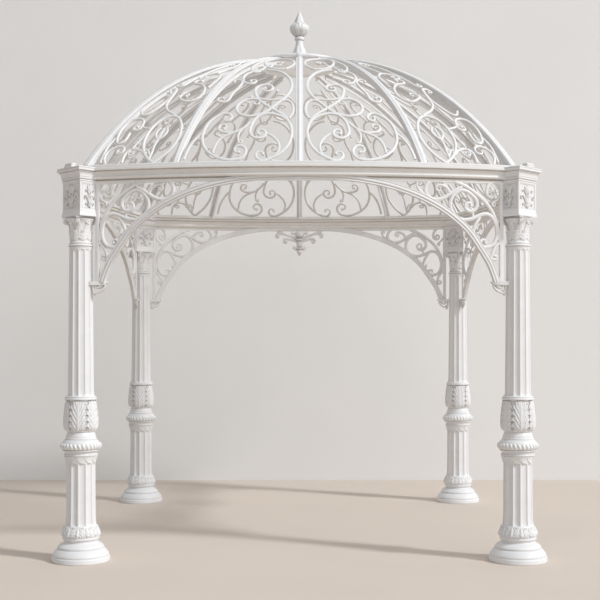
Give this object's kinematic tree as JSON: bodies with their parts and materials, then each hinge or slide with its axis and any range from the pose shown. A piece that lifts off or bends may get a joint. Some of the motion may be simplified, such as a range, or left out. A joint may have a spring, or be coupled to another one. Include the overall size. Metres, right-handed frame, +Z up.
{
  "type": "garden gazebo",
  "caption": "Open garden gazebo: fluted columns, bowed ring beam, arched scroll brackets and an openwork ribbed dome with a bud finial.",
  "frame": {"origin": "on the ground at the centre of the square through the four column axes", "axes": "+Z up, -Y towards the front side, +X towards the right-hand side"},
  "size_m": [3.316, 3.316, 3.926],
  "materials": {
    "white_paint": "satin white paint on cast metal"
  },
  "bodies": {
    "root": {"pedestal_front_left": "white_paint", "pedestal_front_right": "white_paint", "pedestal_back_right": "white_paint", "pedestal_back_left": "white_paint", "shaft_front_left": "white_paint", "shaft_front_right": "white_paint", "shaft_back_right": "white_paint", "shaft_back_left": "white_paint", "capital_front_left": "white_paint", "capital_front_right": "white_paint", "capital_back_right": "white_paint", "capital_back_left": "white_paint", "block_front_left": "white_paint", "block_front_right": "white_paint", "block_back_right": "white_paint", "block_back_left": "white_paint", "beam_front": "white_paint", "beam_right": "white_paint", "beam_back": "white_paint", "beam_left": "white_paint", "spandrel_front_left": "white_paint", "spandrel_front_right": "white_paint", "spandrel_right_front": "white_paint", "spandrel_right_back": "white_paint", "spandrel_back_right": "white_paint", "spandrel_back_left": "white_paint", "spandrel_left_back": "white_paint", "spandrel_left_front": "white_paint", "pendant_back": "white_paint", "pendant_right": "white_paint", "pendant_left": "white_paint", "hip_rib_front_left": "white_paint", "hip_rib_front_right": "white_paint", "hip_rib_back_right": "white_paint", "hip_rib_back_left": "white_paint", "ribs_front": "white_paint", "ribs_right": "white_paint", "ribs_back": "white_paint", "ribs_left": "white_paint", "lace_front": "white_paint", "lace_right": "white_paint", "lace_back": "white_paint", "lace_left": "white_paint", "crown_ring": "white_paint", "finial": "white_paint"}
  },
  "joints": []
}
